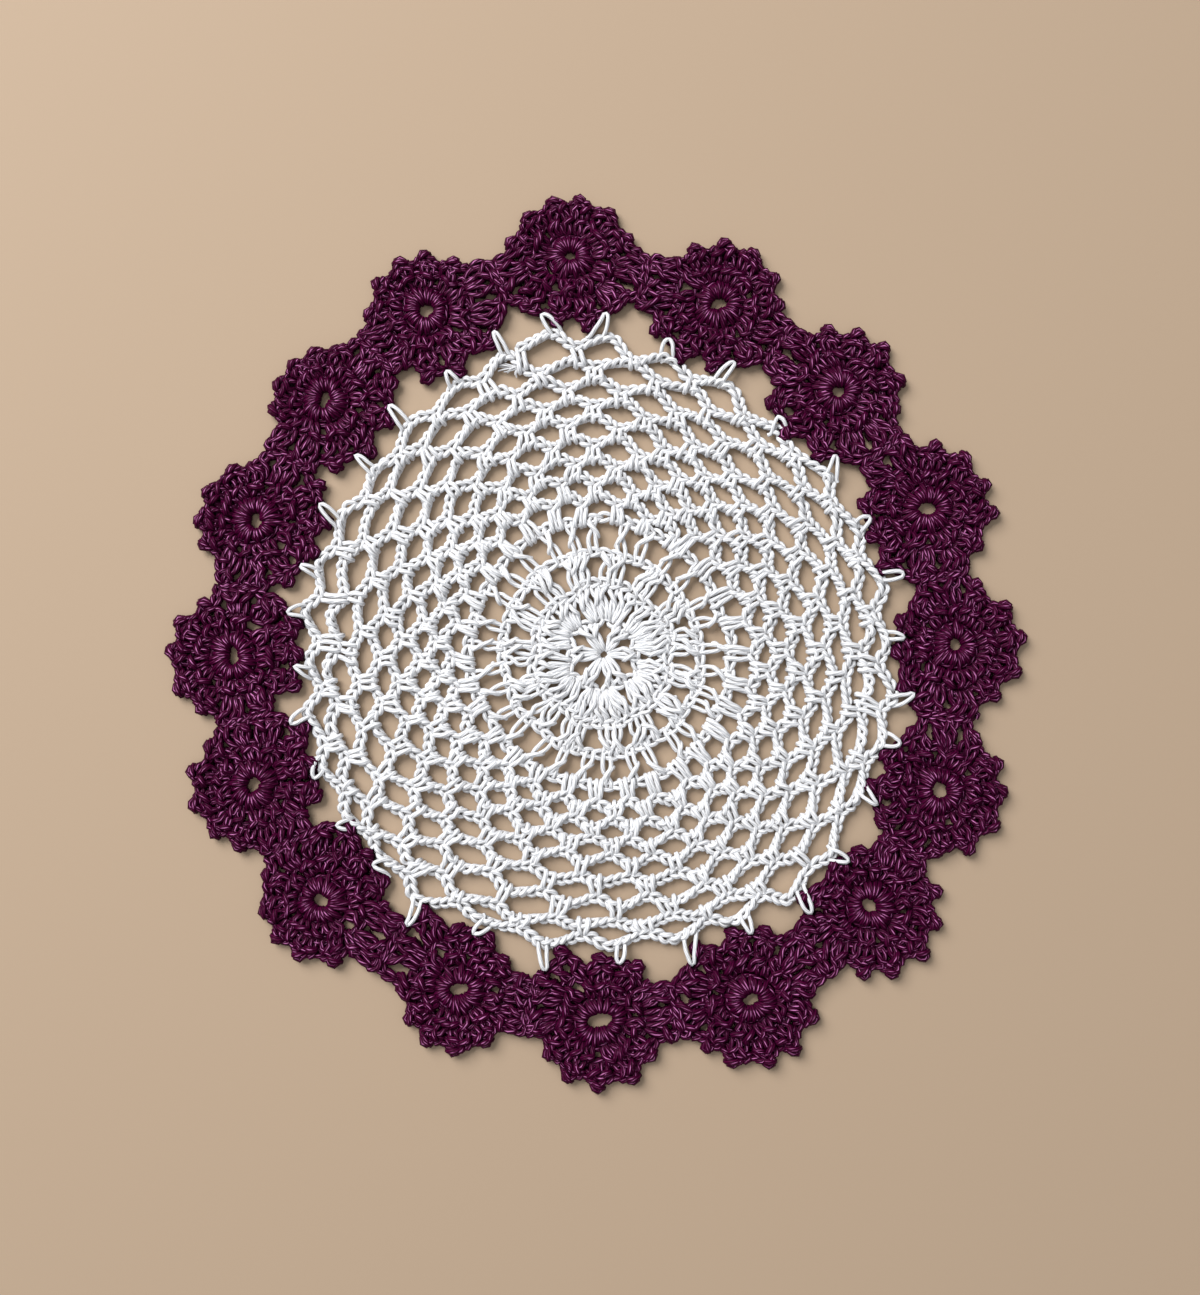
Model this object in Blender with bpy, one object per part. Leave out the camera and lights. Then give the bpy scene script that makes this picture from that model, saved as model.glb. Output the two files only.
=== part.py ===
"""Round crocheted lace doily: an open white centre with sixteen plum motifs joined round it.

The centre is one piece of work: a ring of pairs and one of shells, both solid, a round of blocks, a
round of posts, then a net of chain arches worked in a spiral that ends in hooks at the motifs. Each
motif is a piece of its own.

Lengths are in millimetres until mm() turns them into Blender's metres. A bearing is in degrees,
clockwise from +Y as seen from above. The origin is the middle of the first ring, on the underside.
"""
from collections import namedtuple
from math import atan2, cos, degrees, hypot, pi, radians, sin

import bmesh
import bpy

# Driving dimensions
METRES = 0.001              # one millimetre
CENTRE_THICK = 2.4
MOTIF_THICK = 3.0
CLEARANCE = 0.3             # between neighbouring pieces

# Rounds of blocks and posts inside the net: the gaps that they leave
Round = namedtuple("Round", "gaps radius first_bearing long wide narrow")
ROUND_CORNERS = 8
BLOCK_ROUND = Round(gaps=15, radius=26.0, first_bearing=18.5, long=5.2, wide=4.6, narrow=4.6)
POST_ROUND = Round(gaps=30, radius=34.6, first_bearing=2.9, long=5.6, wide=4.8, narrow=3.3)

# The net: gaps numbered outwards along one spiral, turning against the clock
GAPS_A_TURN = 29.5
SPIRAL_START = 23.5         # bearing of gap 0
FIRST_GAP = 3               # the ones before it are drawn shut
LAST_GAP = 209              # after it, the edge begins
SPIRAL_TURNS = 8.0          # turns between the table's first and last radius
GAP_CORNERS = 6
GAP_LONG = (3.7, 5.6)       # radial size of a gap in the first and last turn
POST_WIDTH = (5.5, 7.2)     # joint between two gaps of one turn, first and last turn

# How unevenly the net lies, sector by sector: the radius of its first, middle and last turn, and
# how many degrees each of them lags behind an even spiral
Sector = namedtuple("Sector", "bearing first middle last lag_first lag_middle lag_last")
SECTORS = (
    Sector(0, 43.0, 66.5, 89.5, -1.0, -2.0, -0.5),
    Sector(30, 39.0, 59.5, 83.5, 2.0, 0.0, 0.5),
    Sector(60, 35.5, 59.5, 82.0, 4.5, 2.0, 5.0),
    Sector(90, 37.5, 59.0, 81.0, 6.5, 4.5, 6.0),
    Sector(120, 38.0, 62.0, 83.5, 3.0, 5.5, 8.5),
    Sector(150, 39.5, 62.5, 84.0, 1.5, 2.5, 11.0),
    Sector(180, 38.5, 59.0, 84.5, 0.5, 2.5, 12.5),
    Sector(210, 38.5, 60.0, 88.0, 2.0, 5.5, 13.0),
    Sector(240, 38.5, 63.5, 91.0, 4.0, 3.0, 8.0),
    Sector(270, 41.0, 62.0, 88.0, 1.5, 1.0, 6.0),
    Sector(300, 41.5, 62.5, 90.0, 2.5, 1.5, 7.5),
    Sector(330, 44.0, 68.0, 93.0, 0.5, 1.0, 4.0),
)

# The edge: every arch of the last turn carries a hook, two hooks to each motif
EDGE_RISE = 4.6             # from the middle of a gap to the outer side of its arch
EDGE_DIP = 1.4              # how far the edge falls between two arches
HOOK_WIDTH = 2.7
HOOK_TIP_WIDTH = 1.9
Hook = namedtuple("Hook", "bearing gap_radius tip_radius")
HOOKS = (
    Hook(341.3, 90.5, 102.6), Hook(331.0, 88.7, 97.0),
    Hook(319.7, 86.5, 98.2), Hook(308.8, 84.0, 94.9),
    Hook(298.0, 84.2, 94.6), Hook(286.4, 84.2, 93.4),
    Hook(277.6, 84.8, 94.0), Hook(267.7, 82.5, 91.0),
    Hook(257.7, 84.3, 94.0), Hook(247.0, 84.4, 92.2),
    Hook(237.2, 84.5, 92.6), Hook(227.1, 84.0, 90.9),
    Hook(215.9, 85.8, 96.8), Hook(205.0, 81.4, 89.8),
    Hook(190.4, 81.9, 92.2), Hook(177.4, 80.6, 89.7),
    Hook(164.0, 81.4, 93.4), Hook(152.2, 82.2, 91.5),
    Hook(141.6, 85.0, 96.2), Hook(130.0, 84.7, 93.3),
    Hook(118.7, 82.0, 91.2), Hook(106.5, 81.7, 90.6),
    Hook(97.3, 82.3, 91.8), Hook(87.0, 79.8, 88.9),
    Hook(74.9, 81.3, 91.8), Hook(62.7, 80.4, 88.6),
    Hook(49.5, 81.7, 91.4), Hook(36.5, 81.5, 88.6),
    Hook(24.1, 85.5, 96.1), Hook(11.6, 87.3, 96.3),
    Hook(0.3, 91.5, 102.8), Hook(349.8, 94.0, 104.2),
)

# Motifs in the order of their pairs of hooks: the place of the ring's middle, how far the motif
# reaches from there outwards and inwards, and the hole in its ring
Motif = namedtuple("Motif", "bearing radius out_reach in_reach hole_long hole_wide hole_bearing")
MOTIFS = (
    Motif(332.8, 116.2, 18.8, 20.3, 4.4, 3.0, 60),
    Motif(312.6, 112.6, 16.4, 21.3, 4.8, 2.6, 10),
    Motif(291.3, 110.3, 18.8, 20.6, 4.2, 2.6, 170),
    Motif(269.8, 108.7, 20.6, 19.8, 4.6, 2.6, 10),
    Motif(249.5, 108.4, 20.4, 19.4, 4.0, 3.2, 30),
    Motif(228.9, 108.1, 19.2, 20.5, 3.8, 2.8, 120),
    Motif(203.1, 105.2, 19.0, 17.6, 5.2, 3.2, 75),
    Motif(180.5, 105.5, 20.6, 19.0, 6.0, 3.6, 92),
    Motif(156.9, 107.7, 20.8, 19.6, 4.0, 2.8, 50),
    Motif(133.2, 106.0, 22.6, 17.8, 4.0, 2.8, 130),
    Motif(111.9, 105.6, 21.2, 19.3, 4.2, 3.6, 0),
    Motif(88.5, 103.2, 21.8, 19.3, 3.8, 3.2, 20),
    Motif(65.7, 105.4, 21.2, 21.0, 4.4, 3.0, 100),
    Motif(41.6, 105.6, 20.6, 20.8, 3.8, 2.6, 90),
    Motif(18.2, 110.7, 21.4, 19.5, 4.6, 3.0, 80),
    Motif(355.3, 120.4, 19.8, 21.5, 3.8, 2.6, 90),
)
POINTS_A_MOTIF = 12
POINT_DEPTH = 1.9           # from a motif's points down to the valleys between them
SAMPLES_A_POINT = 4
NECK_WIDTH = 14.0           # where two motifs are joined
LEAST_SINE = 0.01           # keeps the neck's side finite along its own line
HOLE_CORNERS = 8

CUTTER_MARGIN = 1.0         # by which the cutter stands out above and below the motifs
WELD_DISTANCE = 0.01

WHITE_COTTON = ((0.86, 0.86, 0.85, 1.0), 0.85)
PLUM_COTTON = ((0.085, 0.010, 0.070, 1.0), 0.60)


def mm(*lengths):
    return tuple(length * METRES for length in lengths)


def mix(low, high, share):
    return low + (high - low) * share


def place(bearing, radius, middle=(0.0, 0.0)):
    angle = radians(bearing)
    return middle[0] + radius * sin(angle), middle[1] + radius * cos(angle)


def heading(start, end):
    """Bearing of one point from another."""
    return degrees(atan2(end[0] - start[0], end[1] - start[1])) % 360


def distance(start, end):
    return hypot(end[0] - start[0], end[1] - start[1])


def sector_value(bearing, column):
    """A column of SECTORS, eased from row to row round the whole circle."""
    step = 360 / len(SECTORS)
    row, share = divmod(bearing % 360 / step, 1)
    low = getattr(SECTORS[int(row)], column)
    high = getattr(SECTORS[(int(row) + 1) % len(SECTORS)], column)
    return mix(low, high, (1 - cos(pi * share)) / 2)


def across_turns(bearing, columns, turns):
    """A smooth run through the sector's values at the first, middle and last turn."""
    first, middle, last = (sector_value(bearing, column) for column in columns)
    share = turns / SPIRAL_TURNS
    bow = middle - (first + last) / 2
    return mix(first, last, share) + 4 * bow * share * (1 - share)


def net_radius(bearing, turns):
    return across_turns(bearing, ("first", "middle", "last"), turns)


def net_gap(number):
    """Bearing, radius and turns of one gap of the net."""
    turns = number / GAPS_A_TURN
    bearing = SPIRAL_START - 360 * turns
    bearing += across_turns(bearing, ("lag_first", "lag_middle", "lag_last"), turns)
    return bearing % 360, net_radius(bearing, turns), turns


def eye(bearing, radius, long, wide, corners):
    """A gap: an ellipse with few corners, long along the radius and wide across it."""
    middle = place(bearing, radius)
    outline = []
    for corner in range(corners):
        angle = 2 * pi * corner / corners
        across = place(bearing + 90, cos(angle) * wide / 2, middle)
        outline.append(place(bearing, sin(angle) * long / 2, across))
    return outline


def round_gaps(row):
    """The gaps of a round of blocks or posts, which lags and swells as the net's first turn does."""
    mean_first = sum(sector.first for sector in SECTORS) / len(SECTORS)
    gaps = []
    for number in range(row.gaps):
        bearing = row.first_bearing + 360 * number / row.gaps
        swell = mix(1.0, sector_value(bearing, "first") / mean_first, row.radius / mean_first / 2)
        bearing += sector_value(bearing, "lag_first")
        wide = row.narrow if number % 2 else row.wide
        gaps.append(eye(bearing, row.radius * swell, row.long, wide, ROUND_CORNERS))
    return gaps


def net_gaps():
    cells = [net_gap(number) for number in range(FIRST_GAP, LAST_GAP + 1)]
    cells += [(hook.bearing, hook.gap_radius, SPIRAL_TURNS) for hook in HOOKS]
    gaps = []
    for number, (bearing, radius, turns) in enumerate(cells):
        share = turns / SPIRAL_TURNS
        before = cells[max(number - 1, 0)][0]
        after = cells[min(number + 1, len(cells) - 1)][0]
        pitch = (before - after) % 360 / 2 if 0 < number < len(cells) - 1 else 360 / GAPS_A_TURN
        wide = radius * radians(pitch) - mix(*POST_WIDTH, share)
        gaps.append(eye(bearing, radius, mix(*GAP_LONG, share), wide, GAP_CORNERS))
    return gaps


def centre_outline(grow=0.0):
    """The outer edge with its hooks; grow widens it, for the motifs' clearance."""
    outline = []
    for hook, following in zip(HOOKS, HOOKS[1:] + HOOKS[:1]):
        crest = hook.gap_radius + EDGE_RISE + grow
        tip = hook.tip_radius + grow
        base = degrees((HOOK_WIDTH / 2 + grow) / crest)
        end = degrees((HOOK_TIP_WIDTH / 2 + grow) / tip)
        outline += [place(hook.bearing + base, crest), place(hook.bearing + end, tip),
                    place(hook.bearing - end, tip), place(hook.bearing - base, crest)]
        step = (hook.bearing - following.bearing) % 360
        dip = min(hook.gap_radius, following.gap_radius) + EDGE_RISE - EDGE_DIP + grow
        outline.append(place(hook.bearing - step / 2, dip))
    return outline


def motif_middle(number):
    motif = MOTIFS[number % len(MOTIFS)]
    return place(motif.bearing, motif.radius)


def motif_outline(number):
    """Points round a disc, joined to each neighbour by half a neck."""
    motif = MOTIFS[number]
    middle = motif_middle(number)
    first, second = (place(hook.bearing, hook.tip_radius) for hook in HOOKS[2 * number:][:2])
    inwards = heading(middle, ((first[0] + second[0]) / 2, (first[1] + second[1]) / 2))
    samples = POINTS_A_MOTIF * SAMPLES_A_POINT
    outline = []
    for sample in range(samples):
        bearing = inwards + 360 * sample / samples
        lean = (1 - cos(radians(bearing - motif.bearing))) / 2
        valley = (1 + cos(2 * pi * sample / SAMPLES_A_POINT)) / 2
        reach = mix(motif.out_reach, motif.in_reach, lean) - POINT_DEPTH * valley
        for neighbour in (number - 1, number + 1):
            other = motif_middle(neighbour)
            turn = radians(bearing - heading(middle, other))
            if cos(turn) <= 0:
                continue
            halfway = (distance(middle, other) - CLEARANCE) / 2 / cos(turn)
            side = NECK_WIDTH / 2 / max(abs(sin(turn)), LEAST_SINE)
            reach = min(max(reach, min(halfway, side)), halfway)
        outline.append(place(bearing, reach, middle))
    return outline


def motif_hole(number):
    motif = MOTIFS[number]
    middle = motif_middle(number)
    outline = []
    for corner in range(HOLE_CORNERS):
        angle = 2 * pi * corner / HOLE_CORNERS
        along = place(motif.hole_bearing, cos(angle) * motif.hole_long / 2, middle)
        outline.append(place(motif.hole_bearing + 90, sin(angle) * motif.hole_wide / 2, along))
    return outline


def collection(name):
    new = bpy.data.collections.new(name)
    bpy.context.scene.collection.children.link(new)
    return new


def cotton(name, colour, roughness):
    material = bpy.data.materials.new(name)
    material.use_nodes = True
    shader = material.node_tree.nodes["Principled BSDF"]
    shader.inputs["Base Color"].default_value = colour
    shader.inputs["Roughness"].default_value = roughness
    shader.inputs["Metallic"].default_value = 0.0
    return material


def weld(mesh):
    """Join a curve's loose caps to its walls."""
    shape = bmesh.new()
    shape.from_mesh(mesh)
    bmesh.ops.remove_doubles(shape, verts=shape.verts, dist=WELD_DISTANCE * METRES)
    bmesh.ops.recalc_face_normals(shape, faces=shape.faces)
    shape.to_mesh(mesh)
    shape.free()


def slab(name, outlines, bottom, top, home):
    """A flat solid from an outline and the holes in it, as a mesh with welded caps."""
    curve = bpy.data.curves.new(name, "CURVE")
    curve.dimensions = "2D"
    curve.fill_mode = "BOTH"
    curve.extrude = (top - bottom) / 2 * METRES
    for outline in outlines:
        spline = curve.splines.new("POLY")
        spline.points.add(len(outline) - 1)
        spline.use_cyclic_u = True
        for point, position in zip(spline.points, outline):
            point.co = (*mm(*position), 0.0, 1.0)
    guide = bpy.data.objects.new(name + "_outline", curve)
    home.objects.link(guide)
    guide.location.z = (top + bottom) / 2 * METRES
    bpy.context.view_layer.update()
    evaluated = guide.evaluated_get(bpy.context.evaluated_depsgraph_get())
    mesh = bpy.data.meshes.new_from_object(evaluated)
    weld(mesh)
    solid = bpy.data.objects.new(name, mesh)
    solid.matrix_world = guide.matrix_world.copy()
    home.objects.link(solid)
    bpy.data.objects.remove(guide)
    return solid


def build_centre(home, white):
    gaps = round_gaps(BLOCK_ROUND) + round_gaps(POST_ROUND) + net_gaps()
    centre = slab("centre", [centre_outline()] + gaps, 0.0, CENTRE_THICK, home)
    centre.data.materials.append(white)
    return centre


def build_clearance(home):
    """The centre's outline grown by the clearance, which trims the motifs."""
    outline = centre_outline(CLEARANCE)
    cutter = slab("centre_clearance", [outline], -CUTTER_MARGIN, MOTIF_THICK + CUTTER_MARGIN, home)
    cutter.hide_render = True
    cutter.display_type = "WIRE"
    return cutter


def build_motif(number, home, plum, cutter):
    outlines = [motif_outline(number), motif_hole(number)]
    motif = slab("motif_%02d" % (number + 1), outlines, 0.0, MOTIF_THICK, home)
    motif.data.materials.append(plum)
    trim = motif.modifiers.new("clear of the centre", "BOOLEAN")
    trim.operation = "DIFFERENCE"
    trim.object = cutter
    return motif


def main():
    for old in list(bpy.data.objects):
        bpy.data.objects.remove(old)
    doily = collection("lace_doily")
    cutters = collection("cutters")
    white = cotton("white cotton", *WHITE_COTTON)
    plum = cotton("plum cotton", *PLUM_COTTON)
    build_centre(doily, white)
    cutter = build_clearance(cutters)
    for number in range(len(MOTIFS)):
        build_motif(number, doily, plum, cutter)


main()
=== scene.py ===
"""Crocheted lace doily, laid flat: every strand of its white and plum cotton yarn.

Each stitch is a short table of the turns that its yarn takes. The stitches are laid along the rounds
and the spiral of the doily as lines in the middle of the yarn, and one Geometry Nodes tree lays the
yarn round those lines. Lengths are in millimetres until the strands become a mesh, in metres.
A bearing is in degrees, clockwise from +Y as seen from above.
"""
from collections import namedtuple
from math import radians

import bpy
import numpy as np
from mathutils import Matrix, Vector

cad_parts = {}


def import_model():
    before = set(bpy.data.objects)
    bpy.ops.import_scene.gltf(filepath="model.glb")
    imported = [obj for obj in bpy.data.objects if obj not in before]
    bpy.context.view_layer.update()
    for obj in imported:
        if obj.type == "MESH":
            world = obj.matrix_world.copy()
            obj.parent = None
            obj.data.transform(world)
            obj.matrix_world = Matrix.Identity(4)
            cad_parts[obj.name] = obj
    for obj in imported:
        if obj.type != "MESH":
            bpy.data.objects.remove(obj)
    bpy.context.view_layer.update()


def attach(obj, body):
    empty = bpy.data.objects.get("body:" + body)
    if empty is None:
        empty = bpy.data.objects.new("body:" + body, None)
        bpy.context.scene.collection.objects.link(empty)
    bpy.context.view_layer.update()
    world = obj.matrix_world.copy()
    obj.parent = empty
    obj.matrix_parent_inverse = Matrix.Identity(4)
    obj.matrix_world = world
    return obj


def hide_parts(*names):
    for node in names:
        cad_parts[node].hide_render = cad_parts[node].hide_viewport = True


METRES = 0.001              # one millimetre

# Yarn: its thickness, the length of a facet along it, and the share by which its thickness varies
Yarn = namedtuple("Yarn", "thick facet uneven")
CHAIN_YARN = Yarn(1.58, 0.8, 0.35)      # where a chain pulls it tight
JOINT_YARN = Yarn(1.6, 1.0, 0.35)       # where it lies free
TALL_YARN = Yarn(1.38, 0.95, 0.35)      # stretched by the tall stitches of the middle
HOOK_YARN = Yarn(1.25, 0.9, 0.35)       # stretched most, by a motif that pulls at its hook
FRAYED_YARN = Yarn(0.5, 0.6, 0.2)       # a bundle of fibres of the loose end
PLUM_YARN = Yarn(1.95, 1.3, 0.35)
YARN_SIDES = 6
WHITE_HEIGHT = 1.35         # middle of a chain of the white work above the table
PLUM_HEIGHT = 1.3
HAND_UNEVENNESS = 0.55      # how far the hand-made work strays from its pattern

# Tall stitches. wide is how wide apart the two halves of a stitch are at its base and top, loose how far
# they wander, low and high are degrees from the middle of its group to its base and top, stray is how many
# degrees these may be off, and wrapped the share of stitches that show the yarn thrown over them.
Tall = namedtuple("Tall", "wide loose low high stray wrapped", defaults=(0.0, 0.0, (0.0, 0.0), 1.0))
PAIR = Tall(wide=(0.5, 1.15), loose=0.15, low=14.5, high=9.5)
SHELL = Tall(wide=(0.3, 1.4), loose=0.25, low=20.0, high=27.0, stray=(0.0, 1.6))
BLOCK = Tall(wide=(1.1, 1.25), loose=0.4, low=5.2, high=4.4, stray=(1.0, 1.6), wrapped=0.8)
POST = Tall(wide=(1.25, 1.25), loose=0.3, stray=(1.2, 1.2))
CLUSTER = Tall(wide=(1.1, 1.4), loose=0.35, low=8.0, high=6.5, stray=(3.0, 5.0), wrapped=0.6)
POINT = Tall(wide=(1.15, 1.25), loose=0.35, stray=(2.0, 2.0), wrapped=0.7)
LEFT_OVER_RIGHT = 0.65      # share of tall stitches whose halves cross that way
TALL_TILT = (0.2, 0.35)     # how far their base and top typically shift sideways
TALL_RISE = (-0.15, 0.25)   # how much lower or higher their top may lie
TALL_SLIDE = (-0.16, 0.08)  # how far along the stitch its halves may cross sooner or later

# Rounds inside the net. The stitches of each end at its radius, under a ring of chained tops that lies
# further out by a little, and higher by rise than the middle of the work.
Ring = namedtuple("Ring", "radius stitches out rise")
FIRST_RING = Ring(9.4, 22, 0.3, -0.3)
SHELL_RING = Ring(20.3, 44, 0.5, 0.2)
BLOCK_RING = Ring(29.2, 56, 0.0, 0.0)
POST_RING = Ring(38.9, 74, 0.0, 0.0)
ROUND = -np.arange(0, 360, 4.0)         # bearings once round a ring, as the work turns
LAG_FROM = 0.3              # share of BLOCK_RING's radius at which the rounds begin to lag with the net
CENTRE_PAIRS = 6            # pairs of stitches in the first round, with a gap after each
CENTRE_GAP_BEARING = 2.0
GAP_WAVE = np.cos(np.radians(CENTRE_PAIRS * (ROUND - CENTRE_GAP_BEARING)))    # 1 at a gap, -1 at a pair
CENTRE_HOLE = 2.7           # radius at which the pairs begin
OVER_GAP = 2.3              # how much further out the first ring runs over a gap
SHELL_STITCHES = 7          # and one more in every other shell
SHELL_BASE = (0.5, 0.1)     # how far past the first ring and above the work a shell begins
SHELL_BASE_BOW = 1.2        # how much further in its outermost stitches begin
SHELL_DIP = 1.5             # how much further in the second ring runs between two shells
SHELL_TOP_BOW = 0.8         # share of that dip by which a shell's outermost stitches end further in
SHELL_TOP_STRAY = (-0.6, 0.4)
BLOCKS = 15
BLOCK_BEARING = 6.5
BLOCK_BASE = 1.0            # how far past the shells' ring a block begins
POSTS = 30
POST_BEARING = 8.9
POST_BASE = 0.3             # how far past the blocks' ring a post begins
POST_PAIRING = 0.8          # degrees by which two posts lean towards each other

# The net, as in the CAD source
GAPS_A_TURN = 29.5
SPIRAL_START = 23.5
LAST_GAP = 209
SPIRAL_TURNS = 8.0
Sector = namedtuple("Sector", "bearing first middle last lag_first lag_middle lag_last")
SECTORS = (
    Sector(0, 43.0, 66.5, 89.5, -1.0, -2.0, -0.5),
    Sector(30, 39.0, 59.5, 83.5, 2.0, 0.0, 0.5),
    Sector(60, 35.5, 59.5, 82.0, 4.5, 2.0, 5.0),
    Sector(90, 37.5, 59.0, 81.0, 6.5, 4.5, 6.0),
    Sector(120, 38.0, 62.0, 83.5, 3.0, 5.5, 8.5),
    Sector(150, 39.5, 62.5, 84.0, 1.5, 2.5, 11.0),
    Sector(180, 38.5, 59.0, 84.5, 0.5, 2.5, 12.5),
    Sector(210, 38.5, 60.0, 88.0, 2.0, 5.5, 13.0),
    Sector(240, 38.5, 63.5, 91.0, 4.0, 3.0, 8.0),
    Sector(270, 41.0, 62.0, 88.0, 1.5, 1.0, 6.0),
    Sector(300, 41.5, 62.5, 90.0, 2.5, 1.5, 7.5),
    Sector(330, 44.0, 68.0, 93.0, 0.5, 1.0, 4.0),
)
FIRST_TURN = np.mean([sector.first for sector in SECTORS])      # mean radius of the first turn
Hook = namedtuple("Hook", "bearing gap_radius tip_radius")
HOOKS = (
    Hook(341.3, 90.5, 102.6), Hook(331.0, 88.7, 97.0),
    Hook(319.7, 86.5, 98.2), Hook(308.8, 84.0, 94.9),
    Hook(298.0, 84.2, 94.6), Hook(286.4, 84.2, 93.4),
    Hook(277.6, 84.8, 94.0), Hook(267.7, 82.5, 91.0),
    Hook(257.7, 84.3, 94.0), Hook(247.0, 84.4, 92.2),
    Hook(237.2, 84.5, 92.6), Hook(227.1, 84.0, 90.9),
    Hook(215.9, 85.8, 96.8), Hook(205.0, 81.4, 89.8),
    Hook(190.4, 81.9, 92.2), Hook(177.4, 80.6, 89.7),
    Hook(164.0, 81.4, 93.4), Hook(152.2, 82.2, 91.5),
    Hook(141.6, 85.0, 96.2), Hook(130.0, 84.7, 93.3),
    Hook(118.7, 82.0, 91.2), Hook(106.5, 81.7, 90.6),
    Hook(97.3, 82.3, 91.8), Hook(87.0, 79.8, 88.9),
    Hook(74.9, 81.3, 91.8), Hook(62.7, 80.4, 88.6),
    Hook(49.5, 81.7, 91.4), Hook(36.5, 81.5, 88.6),
    Hook(24.1, 85.5, 96.1), Hook(11.6, 87.3, 96.3),
    Hook(0.3, 91.5, 102.8), Hook(349.8, 94.0, 104.2),
)

# Its chain and joints
JOINT_OUT = 0.30            # how far past the middle of its turn a joint's top lies, as a share of a turn
ARCH_OUT = 0.70             # and the crest of an arch
LAST_ARCH_OUT = 3.4         # the same for the last turn, in millimetres
LAST_JOINT_OUT = 1.2
LAST_END_OUT = 1.5
CHAIN_ENDS = (6, 5)         # degrees by which the chain begins before the first gap and ends after the last
CHAIN_STITCH = (2.3, 2.8)   # length of a chain's stitch in the first and in the last turn
CHAIN_STRAY = 0.2           # how far the beginning of a stitch strays along the chain
RING_STRAY = 0.25           # and along a ring of the rounds inside the net
CHAIN_SWELL = (1.12, 0.95)  # how wide the chain is after a joint and before the next
ARCH_LEAN = 0.2             # share of half an arch by which its crest leans to the joint before it
ARCH_ROLL = (0.1, 0.5)      # how far an arch rolls over in its middle, in radians: mean and spread
ON_EDGE = 1.1               # how far, in radians, the second half of an arch turns over on its edge
LINE_SPANS = 12             # pieces into which half an arch is divided
SPLIT_GAP = 118             # where the net's chain is parted into two pieces
JOINT_LEAN = (0.3, 0.6)     # how far the base of a joint lies to one side: mean and spread
Leg = namedtuple("Leg", "low high rise")            # its place sideways at base and top, and its height
THREE_LEGS = (Leg(-2.2, -1.4, -0.1), Leg(-0.1, 0.2, -0.2), Leg(2.0, 1.3, 0.2))
TWO_LEGS = (Leg(-1.4, -0.7, 0.1), Leg(0.9, 0.9, 0.3))
LEG_STRAY = 0.35            # how far a leg strays sideways at its base and top
LEG_LOOSE = 0.22            # and how far each of its bends wanders
CLOSE_LEGS = 0.68           # how wide the first joint is
FULL_WIDTH_JOINT = 120      # and the number of the first joint of full width
FIRST_SLIM_JOINT = 90       # some joints after it have two legs only
SLIM_SHARE = 0.35

# Sizes of the cloth of each piece, laid flat
EDGING = {(1, 8): (153.0, 248.0), (9, 16): (160.0, 259.0)}

# Motifs, as in the CAD source
Motif = namedtuple("Motif", "bearing radius out_reach in_reach hole_long hole_wide hole_bearing")
MOTIFS = (
    Motif(332.8, 116.2, 18.8, 20.3, 4.4, 3.0, 60),
    Motif(312.6, 112.6, 16.4, 21.3, 4.8, 2.6, 10),
    Motif(291.3, 110.3, 18.8, 20.6, 4.2, 2.6, 170),
    Motif(269.8, 108.7, 20.6, 19.8, 4.6, 2.6, 10),
    Motif(249.5, 108.4, 20.4, 19.4, 4.0, 3.2, 30),
    Motif(228.9, 108.1, 19.2, 20.5, 3.8, 2.8, 120),
    Motif(203.1, 105.2, 19.0, 17.6, 5.2, 3.2, 75),
    Motif(180.5, 105.5, 20.6, 19.0, 6.0, 3.6, 92),
    Motif(156.9, 107.7, 20.8, 19.6, 4.0, 2.8, 50),
    Motif(133.2, 106.0, 22.6, 17.8, 4.0, 2.8, 130),
    Motif(111.9, 105.6, 21.2, 19.3, 4.2, 3.6, 0),
    Motif(88.5, 103.2, 21.8, 19.3, 3.8, 3.2, 20),
    Motif(65.7, 105.4, 21.2, 21.0, 4.4, 3.0, 100),
    Motif(41.6, 105.6, 20.6, 20.8, 3.8, 2.6, 90),
    Motif(18.2, 110.7, 21.4, 19.5, 4.6, 3.0, 80),
    Motif(355.3, 120.4, 19.8, 21.5, 3.8, 2.6, 90),
)
NECK_WIDTH = 16.0
NECK_OVERLAP = 1.1          # how far half a neck reaches past the middle between two motifs
NECK_HALF_ANGLE = 32.0      # degrees to each side of a neck that it takes up
NECK_BLEND = 12.0
HOOK_PULL = 34.0            # degrees to each side of a hook in which it pulls the motif's edge to itself
PAST_HOOK = 4.0             # how far the points beside a hook reach past its tip

# Their stitches. A share runs from 0 on the edge of a motif's ring to 1 on its points.
RING_LOOPS = 26             # strands round a motif's hole
RING_EDGE = 6.0             # radius of that ring
PLAIN_TURNS = (0.03, 0.14)  # shares of the two turns of yarn that the ring and the clusters cover
PLAIN_TURN_HEIGHT = 1.0
CLUSTERS = 10               # of two stitches, in the round after the ring
CLUSTER_STRAY = 6           # degrees that a cluster may be off its place
CLUSTER_BASE = (0.19, -0.1)             # share, and height over PLUM_HEIGHT
CLUSTER_TOP = (0.37, 0.44)
CLUSTER_RISE = (-0.2, 0.6)  # how much higher than PLUM_HEIGHT its top lies
CLUSTER_RING = Ring(0.44, 16, 0.0, -0.4)    # its radius is a share
PLUM_STRAY = 0.3            # how far the beginning of a stitch strays along that ring
POINTS_A_MOTIF = 12         # pairs of stitches in the last round, with a knobbed point on each
IN_NECK = 0.4               # so far into a neck, a pair gets a third stitch, and a chain instead of a knob
POINT_BASE = 0.50
POINT_SPREAD = 0.22         # share of the way to the next pair from the middle of a pair to its stitches
POINT_FAN = (0.18, 0.3)     # the same at their tops, clear of a neck and in one
POINT_TOP = (0.74, 0.94)    # share at which they end, clear of a neck and in one
POINT_CREST = (0.80, 0.97)  # and at which the chain over them does
POINT_RISE = (-0.1, 0.6)    # how much higher than PLUM_HEIGHT their tops lie
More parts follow.
